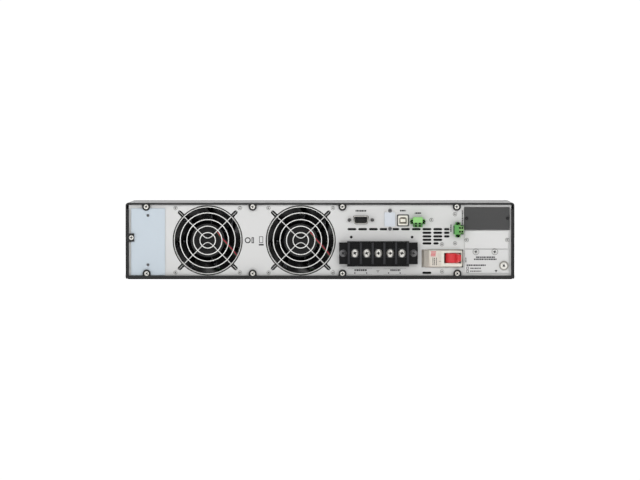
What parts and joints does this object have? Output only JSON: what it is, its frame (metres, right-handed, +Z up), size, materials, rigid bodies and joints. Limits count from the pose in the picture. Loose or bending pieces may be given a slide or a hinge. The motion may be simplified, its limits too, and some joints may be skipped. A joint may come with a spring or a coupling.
{
  "type": "rackmount ups",
  "caption": "Two-unit rack UPS power module with rear fans, breaker, wiring terminals, ports, front display and press buttons.",
  "frame": {"origin": "on the underside, below the centre of the unit's box", "axes": "-Y looks out of the rear panel, +Y out of the front bezel, +X to the right when the rear panel is looked at, +Z up"},
  "size_m": [0.432, 0.6, 0.085],
  "materials": {
    "charcoal_steel": "fine-textured powder coat",
    "light_panel": "smooth satin paint",
    "film_plate": "satin paint, bluish from its protective film",
    "dark_plate": "satin paint",
    "black_plastic": "fine spark texture",
    "terminal_black": "glossy moulded phenolic",
    "nickel": "bright nickel plate",
    "guard_wire": "bright plated wire",
    "breaker_beige": "moulded",
    "toggle_red": "moulded",
    "connector_green": "moulded",
    "detect_green": "moulded",
    "lead_red": "PVC insulation",
    "usb_white": "moulded",
    "circuit_board": "solder mask",
    "heatsink_metal": "extruded",
    "winding": "enamelled copper winding",
    "capacitor_sleeve": "shrink sleeve",
    "display_glass": "polished window"
  },
  "bodies": {
    "root": {"base_tray": "charcoal_steel", "battery_port_cover": "film_plate", "breaker_body": "breaker_beige", "bus_capacitor_1": "capacitor_sleeve", "bus_capacitor_2": "capacitor_sleeve", "bus_capacitor_3": "capacitor_sleeve", "comm_blank_plate": "film_plate", "comm_board": "circuit_board", "cover_screw_1": "nickel", "cover_screw_2": "nickel", "cover_screw_3": "nickel", "cover_screw_4": "nickel", "cover_screw_5": "nickel", "cover_screw_6": "nickel", "cover_screw_7": "nickel", "cover_screw_8": "nickel", "cover_screw_9": "nickel", "detect_plug": "detect_green", "detect_socket": "detect_green", "display_board": "circuit_board", "display_window": "display_glass", "earth_screw": "nickel", "epo_plug": "connector_green", "epo_socket": "connector_green", "fan_frame_1": "black_plastic", "fan_frame_2": "black_plastic", "fan_guard_1": "guard_wire", "fan_guard_2": "guard_wire", "fan_lead_1": "lead_red", "fan_lead_2": "lead_red", "front_bezel": "black_plastic", "front_frame": "charcoal_steel", "heatsink_1": "heatsink_metal", "heatsink_2": "heatsink_metal", "inductor_1": "winding", "inductor_2": "winding", "input_plate": "light_panel", "lower_blank_plate": "light_panel", "main_board": "circuit_board", "output_relay": "black_plastic", "rear_panel": "light_panel", "serial_port_insert": "black_plastic", "serial_port_shell": "nickel", "slot_cover": "dark_plate", "terminal_block": "terminal_black", "terminal_screw_1": "nickel", "terminal_screw_2": "nickel", "terminal_screw_3": "nickel", "terminal_screw_4": "nickel", "terminal_screw_5": "nickel", "top_cover": "charcoal_steel", "usb_port_shell": "usb_white", "usb_port_tongue": "usb_white"},
    "fan_rotor_1": {"fan_rotor_1": "black_plastic"},
    "fan_rotor_2": {"fan_rotor_2": "black_plastic"},
    "breaker_toggle": {"breaker_toggle": "toggle_red"},
    "front_button_1": {"front_button_1": "black_plastic"},
    "front_button_2": {"front_button_2": "black_plastic"},
    "front_button_3": {"front_button_3": "black_plastic"},
    "front_button_4": {"front_button_4": "black_plastic"}
  },
  "joints": [
    {"name": "fan_1_spin", "type": "hinge", "parent": "root", "child": "fan_rotor_1", "pos_m": [-0.1248, -0.2603, 0.0432], "axis": [0, 1, 0], "continuous": true},
    {"name": "fan_2_spin", "type": "hinge", "parent": "root", "child": "fan_rotor_2", "pos_m": [-0.0214, -0.2603, 0.0432], "axis": [0, 1, 0], "continuous": true},
    {"name": "breaker_switch", "type": "hinge", "parent": "root", "child": "breaker_toggle", "pos_m": [0.1474, -0.2785, 0.02355], "axis": [0, 0, 1], "range_deg": [-60, 0]},
    {"name": "button_1_press", "type": "slide", "parent": "root", "child": "front_button_1", "axis": [0, -1, 0], "range_m": [0, 0.0012], "stiffness_N_per_m": 300, "springref_m": -0.001},
    {"name": "button_2_press", "type": "slide", "parent": "root", "child": "front_button_2", "axis": [0, -1, 0], "range_m": [0, 0.0012], "stiffness_N_per_m": 300, "springref_m": -0.001},
    {"name": "button_3_press", "type": "slide", "parent": "root", "child": "front_button_3", "axis": [0, -1, 0], "range_m": [0, 0.0012], "stiffness_N_per_m": 300, "springref_m": -0.001},
    {"name": "button_4_press", "type": "slide", "parent": "root", "child": "front_button_4", "axis": [0, -1, 0], "range_m": [0, 0.0012], "stiffness_N_per_m": 300, "springref_m": -0.001}
  ]
}
